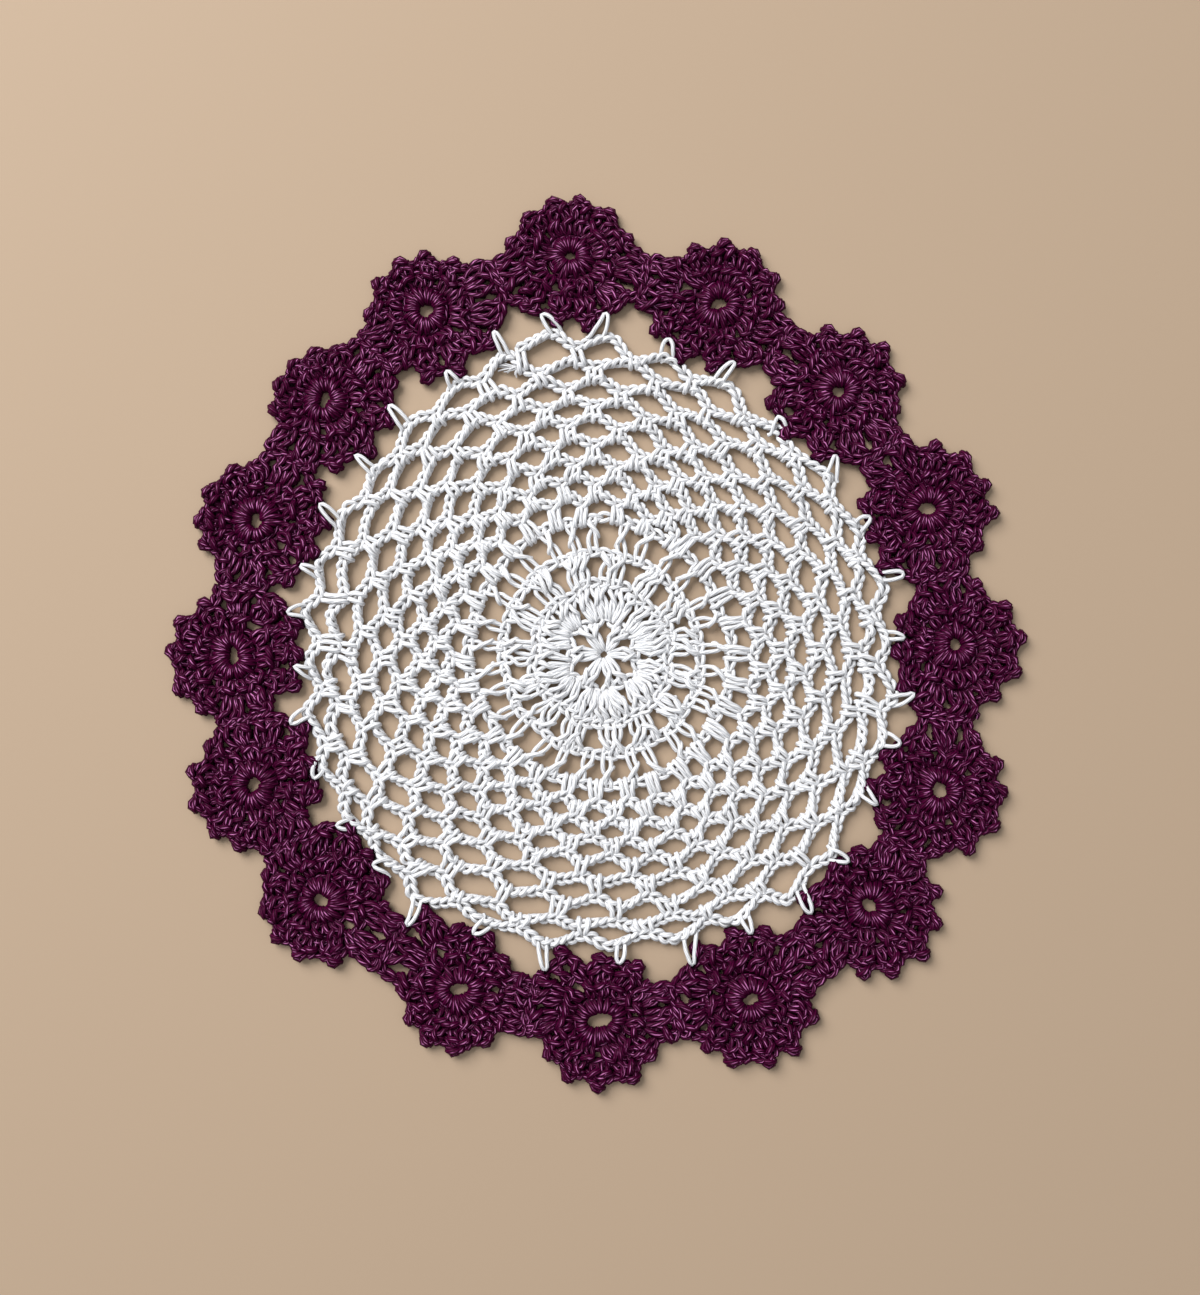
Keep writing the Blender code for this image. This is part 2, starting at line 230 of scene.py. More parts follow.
NECK_CHAIN = (              # degrees from a pair's middle, share, and height over PLUM_HEIGHT
    (-12, 0.62, -0.5), (-4, 0.66, -0.5), (4, 0.66, -0.5), (12, 0.62, -0.5),
)
KNOB_BASE = (0.79, 0.2)     # share, and height over PLUM_HEIGHT
KNOB_STRAY = (2.5, 1.5)     # degrees that a knob may be off, and that it may lean
KNOB_TIP = (-0.04, 0.03)    # how far its tip may be off the motif's edge, as a share
VALLEY = 0.69               # share at which the edge of a motif dips between two points
HOOK_VALLEY = 0.80          # where a hook pulls it in
NECK_VALLEY = 0.95          # and in a neck
PLUM_CHAIN = 1.4            # width of a chain of the plum yarn, as for the turns of a plait

# Turns of the yarn. In a plait, along counts stitches, side and rise count yarn thicknesses.
Turn = namedtuple("Turn", "along side rise")
PLAIT = (
    Turn(0.0, -0.05, -0.45), Turn(0.20, -0.22, 0.10), Turn(0.62, -0.62, 0.48),
    Turn(1.02, -0.72, 0.14), Turn(1.30, -0.40, -0.30), Turn(1.42, 0.0, -0.40),
    Turn(1.30, 0.40, -0.30), Turn(1.02, 0.72, 0.14), Turn(0.62, 0.62, 0.48),
    Turn(0.20, 0.22, 0.10), Turn(0.0, 0.05, -0.45), Turn(0.50, 0.0, -0.46),
)
FLAT_PLAIT = tuple(turn for turn in PLAIT if turn.rise > -0.46)     # without the strand behind it

# In a strand, share runs from its base to its top, reach, side and rise are millimetres
Bend = namedtuple("Bend", "share reach side rise")
OVER_CHAIN = (              # a leg that wraps the chain below it, then climbs and dives under its own top
    Bend(0, 1.1, 0, -0.55), Bend(0, -0.8, 0, -0.7), Bend(0, -1.6, 0, -0.15), Bend(0, -1.45, 0, 0.7),
    Bend(0, -0.5, 0, 1.15), Bend(0.35, 0, 0, 1.1), Bend(0.62, 0, 0, 0.8), Bend(0.88, 0, 0, 0.0),
    Bend(1, 0.6, 0, -0.55),
)
LEG_BACK = slice(3, 7)      # the bends of a leg that show
TWIST_LEFT = (              # the two halves of a tall stitch, side by side and then crossed
    Bend(0, -1.2, -0.40, -0.5), Bend(0, -0.6, -0.68, 0.5), Bend(0.32, 0, -0.80, 0.70),
    Bend(0.58, 0, -0.55, 0.40), Bend(0.78, 0, 0.45, 0.55), Bend(1, -0.2, 0.72, 0.35),
    Bend(1, 0.6, 0.3, -0.4),
)
TWIST_RIGHT = (
    Bend(0, -1.3, 0.40, -0.5), Bend(0, -0.6, 0.72, 0.4), Bend(0.30, 0, 0.84, 0.60),
    Bend(0.56, 0, 0.70, 0.95), Bend(0.78, 0, -0.40, 1.10), Bend(1, -0.2, -0.78, 0.35),
    Bend(1, 0.6, -0.3, -0.4),
)
WRAP = (                    # the yarn thrown over a tall stitch
    Bend(0.94, 0, -1.25, -0.2), Bend(0.84, 0, -0.90, 0.95), Bend(0.66, 0, 0.05, 1.55),
    Bend(0.50, 0, 0.90, 1.15), Bend(0.42, 0, 1.25, -0.2),
)
BACK = (                    # the yarn that runs up behind a tall stitch
    Bend(0, -1.0, 0.1, -0.7), Bend(0.35, 0, -0.15, -0.55), Bend(0.7, 0, 0.15, -0.45),
    Bend(1, 0.5, 0, -0.5),
)
HOOK_LOOP = (
    Bend(0, -1.4, -0.7, -0.4), Bend(0, -0.3, -1.25, 0.5), Bend(0.35, 0, -1.35, 1.3),
    Bend(0.72, 0, -1.05, 1.4), Bend(0.94, 0, -0.60, 1.1), Bend(1, 0.2, 0, 0.6),
    Bend(0.95, 0, 0.55, 0.9), Bend(0.72, 0, 0.95, 1.2), Bend(0.35, 0, 1.35, 1.4),
    Bend(0, -0.3, 1.7, 0.7), Bend(0, -0.8, 2.4, 0.2),
)
HOOK_TIP_HEIGHT = 2.3
HOOK_LEAN = 2.3             # degrees to either side that the base of a hook may lie
HOOK_BASE_WIDE = (0.7, 1.35)            # how much wider or narrower than HOOK_LOOP a hook may be at its base
HOOK_TIP_WIDE = (0.6, 1.3)
HOOK_LOOSE = 0.15           # how far each of its bends wanders
PICOT = (                   # the knob on a point: a loop with a strand drawn across it
    Bend(0, -1.2, -0.9, -0.3), Bend(0, 0.3, -1.35, 0.5), Bend(1, -1.3, -1.25, 0.8),
    Bend(1, -0.3, -0.65, 0.7), Bend(1, 0, 0.05, 0.6), Bend(1, -0.4, 0.75, 0.7),
    Bend(1, -1.4, 1.25, 0.8), Bend(0, 0.2, 1.3, 0.4), Bend(0, -1.2, 0.8, -0.4),
)
PICOT_WRAP = (
    Bend(0.1, -0.3, -1.7, -0.5), Bend(0.2, 0, -1.1, 1.2), Bend(0.45, 0, 0.0, 1.65),
    Bend(0.65, 0, 1.1, 1.1), Bend(0.7, 0.2, 1.6, -0.4),
)
FASTENING_OFF = (-24.8, 86.2, 2.1)
LOOSE_FIBRES = (            # direction, anticlockwise from +X, and length
    (178, 7.4), (184, 6.6), (171, 6.0), (192, 6.6), (199, 5.2), (181, 4.2), (207, 4.0), (236, 2.6),
    (250, 3.0),
)
LOOSE_SHARES = np.array([-0.3, 0.1, 0.4, 0.7, 1.0])    # places along a fibre
LOOSE_STRAY = 0.25          # how far such a place strays
DROOP = 1.2                 # how far the tip of a loose fibre hangs down

# A loop of a motif's ring: share is -1 on the edge of its hole and 0 on the edge of the ring, turn is in
# degrees round the motif and height above the table
Arc = namedtuple("Arc", "share turn height")
RING_LOOP = (
    Arc(-1.0, 0.0, 0.8), Arc(-1.1, 0.0, 1.5), Arc(-0.95, 0.5, 2.3), Arc(-0.60, 1.5, 2.7),
    Arc(-0.28, 2.5, 2.45), Arc(-0.05, 3.5, 1.6), Arc(0.0, 4.0, 0.9),
)
LOOP_STRAY = 0.2            # share of the way to the next loop that a loop may be off its place
LOOP_TURN = (-0.5, 1.5)     # how many times that turn, that reach inwards and that height a loop may have
LOOP_REACH = (0.92, 1.08)
LOOP_HEIGHT = (0.90, 1.08)
LOOP_END = (-0.05, 0.14)    # share by which the outer end of a loop may be off

chance = np.random.default_rng(16)

Path = namedtuple("Path", "points distance closed")


def wander(reach, shape=None):
    """Chance offsets to either side, so far at most."""
    return chance.uniform(-reach, reach, shape)


def place(bearing, radius, height=0.0):
    """Points at bearings and radii round the middle of the doily."""
    angle = np.radians(bearing)
    x, y = radius * np.sin(angle), radius * np.cos(angle)
    return np.stack(np.broadcast_arrays(x, y, np.asarray(height, float)), -1)


def mix(low, high, share):
    return low + (high - low) * share


def column(bearing, name):
    """A column of SECTORS, eased from row to row round the whole circle."""
    values = np.array([getattr(sector, name) for sector in SECTORS])
    row, share = np.divmod(np.asarray(bearing, float) % 360 / (360 / len(SECTORS)), 1)
    row = row.astype(int)
    return mix(values[row], values[(row + 1) % len(SECTORS)], (1 - np.cos(np.pi * share)) / 2)


def across_turns(bearing, names, turns):
    """A value of the net from its columns for the first, middle and last turn."""
    first, middle, last = (column(bearing, name) for name in names)
    share = turns / SPIRAL_TURNS
    bow = middle - (first + last) / 2
    return mix(first, last, share) + 4 * bow * share * (1 - share)


def turn_apart(bearing):
    """How far apart two turns of the net are."""
    return (column(bearing, "last") - column(bearing, "first")) / SPIRAL_TURNS


def first_turn_swell(bearing):
    """The radius of the net's first turn as a share of its mean."""
    return column(bearing, "first") / FIRST_TURN


def gap_table():
    """Bearing, not wrapped at 360, and radius of every gap along the spiral."""
    number = np.arange(LAST_GAP + 1)
    turns = number / GAPS_A_TURN
    even = SPIRAL_START - 360 * turns
    bearing = even + across_turns(even, ("lag_first", "lag_middle", "lag_last"), turns)
    radius = across_turns(bearing, ("first", "middle", "last"), turns)
    for hook in HOOKS:
        step = (bearing[-1] - hook.bearing) % 360
        bearing = np.append(bearing, bearing[-1] - step)
        radius = np.append(radius, hook.gap_radius)
    return bearing, radius


def in_round(bearing, radius, height=WHITE_HEIGHT):
    """A point of the inner rounds, which swell and lag with the net's first turn, more and more outwards."""
    swell = mix(1.0, first_turn_swell(bearing), radius / FIRST_TURN / 2)
    lag = column(bearing, "lag_first") * np.clip(radius / BLOCK_RING.radius - LAG_FROM, 0, 1)
    return place(bearing + lag, radius * swell, height)


def smooth(points, spans=8, closed=False):
    """A smooth line through points."""
    p = np.asarray(points, float)
    p = np.vstack([p[-1:], p, p[:2]]) if closed else np.vstack([2 * p[0] - p[1], p, 2 * p[-1] - p[-2]])
    share = np.linspace(0, 1, spans, endpoint=False)[None, :, None]
    a, b, c, d = (p[start:len(p) - 3 + start][:, None, :] for start in range(4))
    line = (2 * b + (c - a) * share + (2 * a - 5 * b + 4 * c - d) * share**2
            + (3 * b - a - 3 * c + d) * share**3) / 2
    return np.vstack([line.reshape(-1, p.shape[1]), p[1] if closed else p[-2]])


def path_of(points, closed=False):
    steps = np.linalg.norm(np.diff(points, axis=0), axis=1)
    return Path(points, np.concatenate([[0], np.cumsum(steps)]), closed)


def walk(path, distance):
    """Points and leftward directions at distances along a path."""
    long = path.distance[-1]
    ahead = 0.4             # the heading is read from this far before a point to this far past it

    def at(where):
        where = where % long if path.closed else where
        return np.stack([np.interp(where, path.distance, path.points[:, axis]) for axis in range(3)], -1)
    near = distance if path.closed else np.clip(distance, ahead, long - ahead)
    heading = at(near + ahead) - at(near - ahead)
    heading[..., 2] = 0
    heading /= np.linalg.norm(heading, axis=-1, keepdims=True)
    left = np.stack([-heading[..., 1], heading[..., 0], np.zeros_like(heading[..., 0])], -1)
    return at(distance), left


def stray(points, thick):
    """The slow wander of hand-made work, in waves of 14 to 21 mm, the same for all that lies in one place."""
    x, y = points[:, 0], points[:, 1]
    offset = np.stack([np.sin(x / 3.1 + 1.3 * np.sin(y / 4.7)) + np.sin(y / 2.3 + x / 9.0 + 2.0),
                       np.sin(y / 3.4 + 1.2 * np.sin(x / 5.3) + 0.7) + np.sin(x / 2.6 - y / 8.0),
                       np.zeros(len(x))], -1)
    moved = points + HAND_UNEVENNESS / 2 * offset
    moved[:, 2] = np.maximum(moved[:, 2], thick / 2)
    return moved


def plait(path, marks, turns=PLAIT, wide=CHAIN_YARN.thick, roll=0.0):
    """A chain of stitches along a path. marks are the distances at which its stitches begin.

    wide and roll, which turns the chain over sideways, are one number or one for each mark.
    """
    shape = np.array(turns)
    index = np.arange(len(marks) - 1)[:, None] + shape[None, :, 0]

    def at_turns(values, step=0.0):
        after = values[-1] + step * np.arange(1, 3)
        return np.interp(index, np.arange(len(values) + 2), np.append(values, after))
    where, left = walk(path, at_turns(marks, marks[-1] - marks[-2]))
    wide, roll = (at_turns(values) if np.ndim(values) else values for values in (wide, roll))
    side, rise = shape[:, 1] * wide, shape[:, 2] * wide
    across = side * np.cos(roll) - rise * np.sin(roll)
    up = side * np.sin(roll) + rise * np.cos(roll)
    points = where + left * across[..., None]
    points[..., 2] += up
    return points.reshape(-1, 3)


def strand(base, top, bends, side=(0.0, 0.0), wide=(1.0, 1.0), mirror=1.0, slide=0.0):
    """One strand from base to top.

    side moves its base and its top sideways, wide widens them, and slide moves its bends along it.
    """
    shape = np.array(bends)
    shape[:, 0] += slide * 4 * shape[:, 0] * (1 - shape[:, 0])
    run = np.asarray(top, float) - base
    heading = run * (1, 1, 0)
    heading /= np.linalg.norm(heading)
    left = np.array([-heading[1], heading[0], 0])
    share = shape[:, :1]
    across = mirror * shape[:, 2:3] * mix(wide[0], wide[1], share) + mix(side[0], side[1], share)
    points = base + run * share + heading * shape[:, 1:2] + left * across
    points[:, 2] += shape[:, 3]
    return points


def tall_stitch(base, top, kind, wrapped=True, backed=False):
    """A double crochet: two halves that cross, with the yarn thrown over them."""
    mirror = 1.0 if chance.random() < LEFT_OVER_RIGHT else -1.0
    tilt = (chance.normal(0, TALL_TILT[0]), chance.normal(0, TALL_TILT[1]))
    top = top + np.array([0, 0, chance.uniform(*TALL_RISE)])
    parts = (TWIST_LEFT, TWIST_RIGHT) + (WRAP,) * wrapped + (BACK,) * backed
    slide = chance.uniform(*TALL_SLIDE)
    strands = [strand(base, top, bends, tilt, kind.wide, mirror, slide) for bends in parts]
    return [one + wander(kind.loose, one.shape) for one in strands]


def chained_ring(ring, bulge=0.0):
    """The chained tops of a round of the centre. bulge is how far each place in it lies further out."""
    line = in_round(ROUND, ring.radius + ring.out + bulge, WHITE_HEIGHT + ring.rise)
    path = path_of(smooth(line, closed=True), closed=True)
    marks = np.linspace(0, path.distance[-1], ring.stitches + 1)
    marks[1:-1] += wander(RING_STRAY, ring.stitches - 1)
    return [plait(path, marks)]


def first_round():
    """Six pairs with a gap after each."""
    strands = []
    pitch = 360 / CENTRE_PAIRS
    for pair in range(CENTRE_PAIRS):
        middle = CENTRE_GAP_BEARING + pitch * (pair + 0.5)
        for side in (-1, 1):
            base = in_round(middle + side * PAIR.low, CENTRE_HOLE)
            top = in_round(middle + side * PAIR.high, FIRST_RING.radius)
            strands += tall_stitch(base, top, PAIR, backed=True)
    return strands + chained_ring(FIRST_RING, OVER_GAP * np.maximum(0, GAP_WAVE) ** 2)


def shells():
    """A fan of stitches out of each gap between two pairs."""
    strands = []
    for shell in range(CENTRE_PAIRS):
        middle = CENTRE_GAP_BEARING + 360 / CENTRE_PAIRS * shell
        stitches = SHELL_STITCHES + (shell % 2)
        for number in range(stitches):
            offset = (number / (stitches - 1) - 0.5) * 2
            out, rise = SHELL_BASE
            inner = FIRST_RING.radius + OVER_GAP + out - SHELL_BASE_BOW * offset**2
            base = in_round(middle + offset * SHELL.low, inner, WHITE_HEIGHT + rise)
            bearing = middle + offset * SHELL.high + wander(SHELL.stray[1])
            outer = SHELL_RING.radius + chance.uniform(*SHELL_TOP_STRAY)
            top = in_round(bearing, outer - SHELL_TOP_BOW * SHELL_DIP * offset**4)
            strands += tall_stitch(base, top, SHELL, backed=number % 2 == 0)
    return strands + chained_ring(SHELL_RING, -SHELL_DIP * np.maximum(0, -GAP_WAVE) ** 2)


def blocks():
    """Blocks of three stitches."""
    strands = []
    for block in range(BLOCKS):
        middle = BLOCK_BEARING + 360 / BLOCKS * block
        for offset in (-1, 0, 1):
            low, high = map(wander, BLOCK.stray)
            base = in_round(middle + offset * BLOCK.low + low, SHELL_RING.radius + BLOCK_BASE)
            top = in_round(middle + offset * BLOCK.high + high, BLOCK_RING.radius)
            strands += tall_stitch(base, top, BLOCK, chance.random() < BLOCK.wrapped)
    return strands + chained_ring(BLOCK_RING)


def posts():
    """Single stitches, leaning together in twos."""
    strands = []
    for post in range(POSTS):
        towards_pair = POST_PAIRING if post % 2 == 0 else -POST_PAIRING
        middle = POST_BEARING + 360 / POSTS * post + towards_pair
        low, high = map(wander, POST.stray)
        base = in_round(middle + low, BLOCK_RING.radius + POST_BASE)
        top = in_round(middle + high, POST_RING.radius)
        strands += tall_stitch(base, top, POST)
    return strands + chained_ring(POST_RING)


Spiral = namedtuple("Spiral", "joint_bearing joint_radius arch_radius line path joint_distance")


def spiral():
    """The middle line of the net's chain: a joint, then an arch, and so on outwards."""
    bearing, radius = gap_table()
    gaps = len(bearing)
    last = LAST_GAP + 1
    before, after = CHAIN_ENDS
    between = (bearing[1:] + bearing[:-1]) / 2
    joint_bearing = np.concatenate([[bearing[0] + before], between, [bearing[-1] - after]])
    joint_radius = np.concatenate([radius[:1], (radius[1:] + radius[:-1]) / 2, radius[-1:]])
    joint_radius = joint_radius + JOINT_OUT * turn_apart(joint_bearing)
    joint_radius[last:-1] = np.minimum(radius[last - 1:-1], radius[last:]) + LAST_JOINT_OUT
    joint_radius[-1] = radius[-1] + LAST_END_OUT
    arch_radius = radius + ARCH_OUT * turn_apart(bearing)
    arch_radius[last:] = radius[last:] + LAST_ARCH_OUT

    line = np.full((2 * gaps + 1, 3), WHITE_HEIGHT)
    line[0::2, 0], line[1::2, 0] = joint_bearing, mix(bearing, joint_bearing[:-1], ARCH_LEAN)
    line[0::2, 1], line[1::2, 1] = joint_radius, arch_radius
    line = smooth(line, LINE_SPANS)
    path = path_of(place(line[:, 0], line[:, 1], line[:, 2]))
    joint_distance = path.distance[::2 * LINE_SPANS][:gaps + 1]
    return Spiral(joint_bearing, joint_radius, arch_radius, line, path, joint_distance)


Chain = namedtuple("Chain", "marks widths rolls joint_marks")


def net_chain(net):
    """The stitches of the chain, as many between two joints as the arch is long."""
    marks, rolls, widths, joint_marks = [0.0], [0.0], [CHAIN_YARN.thick], [0]
    gaps = len(net.joint_distance) - 1
    for gap in range(gaps):
        start, end = net.joint_distance[gap], net.joint_distance[gap + 1]
        stitches = int(round((end - start) / mix(*CHAIN_STITCH, gap / gaps)))
        roll = chance.normal(*ARCH_ROLL)
        for number in range(1, stitches + 1):
            share = number / stitches
            marks.append(mix(start, end, share))
            rolls.append(roll * np.sin(np.pi * share) ** 2 + ON_EDGE * np.sin(np.pi * share**1.5) ** 2)
            widths.append(CHAIN_YARN.thick * mix(*CHAIN_SWELL, share))
        joint_marks.append(len(marks) - 1)
    marks = np.array(marks)
    marks[1:-1] += wander(CHAIN_STRAY, len(marks) - 2)
    return Chain(marks, np.array(widths), np.array(rolls), joint_marks)


def net_joints(net):
    """Legs over the chain of the turn before, and over the posts in the first turn."""
    line = net.line[np.argsort(net.line[:, 0])]
    strands = []
    for joint, bearing in enumerate(net.joint_bearing):
        before = bearing + 360
        if before > net.line[0, 0]:
            below = POST_RING.radius * mix(1.0, first_turn_swell(bearing), 0.5)
        else:
            below = np.interp(before, line[:, 0], line[:, 1])
        spread = mix(CLOSE_LEGS, 1.0, min(1.0, joint / FULL_WIDTH_JOINT))
        lean = chance.normal(*JOINT_LEAN)
        base = place(bearing, below, WHITE_HEIGHT)
        top = place(bearing, net.joint_radius[joint], WHITE_HEIGHT)
        slim = joint > FIRST_SLIM_JOINT and chance.random() < SLIM_SHARE
        for leg in TWO_LEGS if slim else THREE_LEGS:
            side = (leg.low * spread + lean + wander(LEG_STRAY), leg.high * spread + wander(LEG_STRAY))
            one = strand(base, top, OVER_CHAIN, side) + wander(LEG_LOOSE, (len(OVER_CHAIN), 3))
            one[LEG_BACK, 2] += leg.rise
            strands.append(one)
    return strands


def hooks(net):
    """The open loops that hold the motifs, one on every arch of the last turn."""
    strands = []
    for hook, crest in zip(HOOKS, net.arch_radius[-len(HOOKS):]):
        base = place(hook.bearing + wander(HOOK_LEAN), crest, WHITE_HEIGHT)
        top = place(hook.bearing, hook.tip_radius - JOINT_YARN.thick / 2, HOOK_TIP_HEIGHT)
        wide = (chance.uniform(*HOOK_BASE_WIDE), chance.uniform(*HOOK_TIP_WIDE))
        loop = strand(base, top, HOOK_LOOP, wide=wide, mirror=chance.choice((-1, 1)))
        strands.append(loop + wander(HOOK_LOOSE, loop.shape))
    return strands


def loose_end():
    """The frayed end of the white yarn, where its last turn was fastened off."""
    strands = []
    for angle, long in LOOSE_FIBRES:
        run = long * np.array([np.cos(radians(angle)), np.sin(radians(angle)), 0])
        fibres = np.array(FASTENING_OFF) + LOOSE_SHARES[:, None] * run
        fibres[:, 2] -= DROOP * np.clip(LOOSE_SHARES, 0, 1) ** 2
        fibres[1:] += wander(LOOSE_STRAY, fibres[1:].shape)
        strands.append(fibres)
    return strands


# Motifs
def motif_middle(number):
    motif = MOTIFS[number % len(MOTIFS)]
    return place(motif.bearing, motif.radius)


def bearing_to(start, end):
    return np.degrees(np.arctan2(end[0] - start[0], end[1] - start[1]))


def turned_away(angle, bearing):
    """Degrees between directions, from 0 to 180."""
    return np.abs((angle - bearing + 180) % 360 - 180)


def motif_reach(number, angle):
    """How far a motif reaches from its middle, with half a neck to each neighbour and out to its hooks."""
    motif, middle = MOTIFS[number], motif_middle(number)
    angle = np.asarray(angle, float)
    lean = (1 - np.cos(np.radians(angle - motif.bearing))) / 2
    reach = mix(motif.out_reach, motif.in_reach, lean)
    for hook in HOOKS[2 * number:2 * number + 2]:
        tip = place(hook.bearing, hook.tip_radius)
        away = turned_away(angle, bearing_to(middle, tip))
        pull = (1 - np.cos(np.pi * np.clip(2 - 2 * away / HOOK_PULL, 0, 1))) / 2
        reach = mix(reach, np.maximum(reach, np.linalg.norm(tip - middle) + PAST_HOOK), pull)
    for neighbour in (number - 1, number + 1):
        other = motif_middle(neighbour)
        turn = np.radians(angle - bearing_to(middle, other))
        towards = np.cos(turn)
        halfway = (np.linalg.norm(other - middle) / 2 + NECK_OVERLAP) / np.maximum(towards, 0.05)
        side = NECK_WIDTH / 2 / np.maximum(np.abs(np.sin(turn)), 0.01)
        in_half_neck = np.minimum(np.maximum(reach, np.minimum(halfway, side)), halfway)
        reach = np.where(towards > 0, in_half_neck, reach)
    return reach


def in_neck(number, angle):
    """From 0 clear of the necks to 1 within them."""
    middle = motif_middle(number)
    share = np.zeros(np.shape(angle))
    for neighbour in (number - 1, number + 1):
        away = turned_away(angle, bearing_to(middle, motif_middle(neighbour)))
        share = np.maximum(share, np.clip((NECK_HALF_ANGLE - away) / NECK_BLEND, 0, 1))
    return share


def motif_spot(number, angle, share, height):
    """A point of a motif: share is -1 on the edge of its hole, 0 on its ring's edge and 1 on its points."""
    motif, middle = MOTIFS[number], motif_middle(number)
    angle = np.asarray(angle, float)
    turn = np.radians(angle - motif.hole_bearing)
    half = PLUM_YARN.thick / 2
    long, wide = motif.hole_long / 2 + half, motif.hole_wide / 2 + half
    hole = long * wide / np.hypot(wide * np.cos(turn), long * np.sin(turn))
    reach = motif_reach(number, angle) - half
    inside, outside = mix(RING_EDGE, hole, np.negative(share)), mix(RING_EDGE, reach, share)
    return middle + place(angle, np.where(np.less(share, 0), inside, outside), height)


def motif_valleys(number):
    """Bearings and shares of the valleys between a motif's points, from its first hook round.

    Two of them are at its hooks.
    """
    middle = motif_middle(number)
    first, second = (bearing_to(middle, place(hook.bearing, hook.tip_radius))
                     for hook in HOOKS[2 * number:][:2])
    between = (second - first) % 360
    groups = max(1, round(between / 360 * POINTS_A_MOTIF))
    beyond = np.linspace(between, 360, POINTS_A_MOTIF - groups + 1)
    bearings = first + np.concatenate([np.linspace(0, between, groups, endpoint=False), beyond])
    shares = np.full(len(bearings), VALLEY)
    shares[[0, groups, -1]] = HOOK_VALLEY
    return bearings, mix(shares, NECK_VALLEY, in_neck(number, bearings))


def ring_loops(number):
    """The raised ring of loops round the hole."""
    shape = np.array(RING_LOOP)
    strands = []
    for loop in range(RING_LOOPS):
        angle = 360 / RING_LOOPS * (loop + wander(LOOP_STRAY)) + shape[:, 1] * chance.uniform(*LOOP_TURN)
        share = shape[:, 0] * chance.uniform(*LOOP_REACH)
        share[-2:] += chance.uniform(*LOOP_END)
        strands.append(motif_spot(number, angle, share, shape[:, 2] * chance.uniform(*LOOP_HEIGHT)))
    return strands


def clusters(number, first):
    """Pairs of tall stitches over the ring, the yarn that they and the ring cover, and their tops."""
    strands = []
    for cluster in range(CLUSTERS):
        angle = first + 360 / CLUSTERS * cluster + wander(CLUSTER_STRAY)
        for side in (-1, 1):
            bearing = angle + side * CLUSTER.low + wander(CLUSTER.stray[0])
            share, rise = CLUSTER_BASE
            base = motif_spot(number, bearing, share, PLUM_HEIGHT + rise)
            share, height = chance.uniform(*CLUSTER_TOP), PLUM_HEIGHT + chance.uniform(*CLUSTER_RISE)
            bearing = angle + side * CLUSTER.high + wander(CLUSTER.stray[1])
            top = motif_spot(number, bearing, share, height)
            strands += tall_stitch(base, top, CLUSTER, chance.random() < CLUSTER.wrapped, backed=side > 0)
    for share in PLAIN_TURNS:
        turn = motif_spot(number, np.arange(0, 360, 18.0), share, PLAIN_TURN_HEIGHT)
        strands.append(smooth(turn, 2, closed=True))
    ring = CLUSTER_RING
    tops = motif_spot(number, first - np.arange(0, 360, 6.0), ring.radius, PLUM_HEIGHT + ring.rise)
    path = path_of(smooth(tops, closed=True), closed=True)
    marks = np.linspace(0, path.distance[-1], ring.stitches + 1)
    marks[1:-1] += wander(PLUM_STRAY, ring.stitches - 1)
    return strands + [plait(path, marks, FLAT_PLAIT, PLUM_CHAIN)]


def plum_chain(number, spots, stitches):
    """A chain of the plum yarn through spots of a motif: bearing, share and height over PLUM_HEIGHT."""
    line = [motif_spot(number, angle, share, PLUM_HEIGHT + rise) for angle, share, rise in spots]
    path = path_of(smooth(line))
    return plait(path, np.linspace(0, path.distance[-1], stitches + 1), FLAT_PLAIT, PLUM_CHAIN)


def last_round(number, valleys, dips):
    """Pairs of tall stitches, the chain over each pair, and a knob on each point."""
    strands = []
    for pair in range(POINTS_A_MOTIF):
        pitch = valleys[pair + 1] - valleys[pair]
        angle = valleys[pair] + pitch / 2
        neck = float(in_neck(number, angle))
        for side in (-1, 0, 1) if neck > IN_NECK else (-1, 1):
            bearing = angle + side * POINT_SPREAD * pitch + wander(POINT.stray[0])
            base = motif_spot(number, bearing, POINT_BASE, PLUM_HEIGHT)
            share, height = mix(*POINT_TOP, neck), PLUM_HEIGHT + chance.uniform(*POINT_RISE)
            fan = mix(*POINT_FAN, neck) * pitch
            top = motif_spot(number, angle + side * fan + wander(POINT.stray[1]), share, height)
            strands += tall_stitch(base, top, POINT, chance.random() < POINT.wrapped, backed=side > 0)
        crest = mix(*POINT_CREST, neck)
        before, after = dips[pair:pair + 2]
        over = ((-0.5, before, -0.3), (-0.33, mix(before, crest, 0.4), 0.2), (-0.13, crest - 0.01, 0.5),
                (0, crest, 0.6), (0.13, crest - 0.01, 0.5), (0.33, mix(after, crest, 0.4), 0.2),
                (0.5, after, -0.3))
        over = [(angle + side * pitch, share, rise) for side, share, rise in over]
        strands.append(plum_chain(number, over, 4))
        if neck > IN_NECK:
            low = [(angle + turn, share, rise) for turn, share, rise in NECK_CHAIN]
            strands.append(plum_chain(number, low, 3))
        else:
            share, rise = KNOB_BASE
            angle += wander(KNOB_STRAY[0])
            base = motif_spot(number, angle, share, PLUM_HEIGHT + rise)
            angle += wander(KNOB_STRAY[1])
            top = motif_spot(number, angle, 1.0 + chance.uniform(*KNOB_TIP), PLUM_HEIGHT)
            mirror = chance.choice((-1, 1))
            strands += [strand(base, top, bends, mirror=mirror) for bends in (PICOT, PICOT_WRAP)]
    return strands


def motif_strands(number):
    valleys, dips = motif_valleys(number)
    return ring_loops(number) + clusters(number, valleys[0]) + last_round(number, valleys, dips)


# Laying the yarn
LUMPS = 260.0               # thick and thin places to a metre of yarn, one in 4 mm


